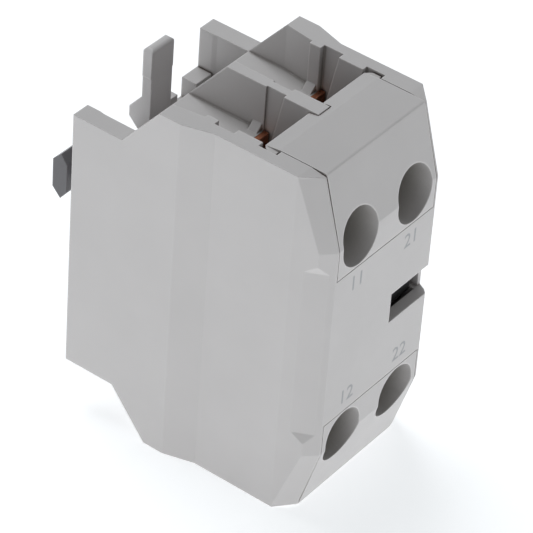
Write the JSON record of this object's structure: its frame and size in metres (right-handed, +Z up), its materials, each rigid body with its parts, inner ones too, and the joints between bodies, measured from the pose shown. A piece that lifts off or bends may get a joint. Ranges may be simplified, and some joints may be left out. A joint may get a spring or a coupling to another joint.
{
  "type": "auxiliary contact block",
  "caption": "Clip-on block of normally closed contacts for a contactor, with wire pockets above and below, screwdriver holes, a sliding carrier with a coupling head and a sprung release latch.",
  "frame": {"origin": "middle of the lower deck, under the middle of the bounding box", "axes": "+Z up along the height, +Y to the rear towards the contactor, +X to the right seen from the front"},
  "size_m": [0.027, 0.0476, 0.0514],
  "materials": {
    "body_plastic": "fine matt grain",
    "cover_plastic": "fine matt grain",
    "base_plastic": "fine matt grain",
    "latch_plastic": "satin",
    "carrier_plastic": "satin",
    "flag_plastic": "satin",
    "copper": "rolled",
    "silver": "satin",
    "steel": "plated",
    "spring_steel": "drawn wire"
  },
  "bodies": {
    "block": {"housing": "body_plastic", "terminal_cover_upper": "cover_plastic", "terminal_cover_lower": "cover_plastic", "rear_base": "base_plastic", "latch_pin": "steel", "latch_spring": "spring_steel", "return_spring": "spring_steel", "terminal_upper_left": "copper", "terminal_upper_right": "copper", "terminal_lower_left": "copper", "terminal_lower_right": "copper", "fixed_contact_tips": "silver", "clamp_plates": "steel", "terminal_screws": "steel"},
    "carrier": {"contact_carrier": "carrier_plastic", "carrier_cap": "flag_plastic", "contact_spring_left": "spring_steel", "contact_spring_right": "spring_steel"},
    "bridge_left": {"contact_bridge_left": "copper", "bridge_tips_left": "silver"},
    "bridge_right": {"contact_bridge_right": "copper", "bridge_tips_right": "silver"},
    "latch": {"release_latch": "latch_plastic"}
  },
  "joints": [
    {"name": "carrier_slide", "type": "slide", "parent": "block", "child": "carrier", "axis": [0, 1, 0], "range_m": [0, 0.0036], "stiffness_N_per_m": 300, "springref_m": -0.003, "deforming": ["return_spring"]},
    {"name": "bridge_left_slide", "type": "slide", "parent": "carrier", "child": "bridge_left", "axis": [0, 1, 0], "range_m": [-0.0005, 0], "deforming": ["contact_spring_left"]},
    {"name": "bridge_right_slide", "type": "slide", "parent": "carrier", "child": "bridge_right", "axis": [0, 1, 0], "range_m": [-0.0005, 0], "deforming": ["contact_spring_right"]},
    {"name": "latch_pivot", "type": "hinge", "parent": "block", "child": "latch", "pos_m": [0, 0.01045, 0.0313], "axis": [1, 0, 0], "range_deg": [0, 12], "stiffness_Nm_per_rad": 0.05, "springref_deg": -8.59, "deforming": ["latch_spring"]}
  ],
  "couplings": [
    {"joint": "bridge_left_slide", "follows": "carrier_slide", "ratio": -0.125},
    {"joint": "bridge_right_slide", "follows": "carrier_slide", "ratio": -0.125}
  ]
}
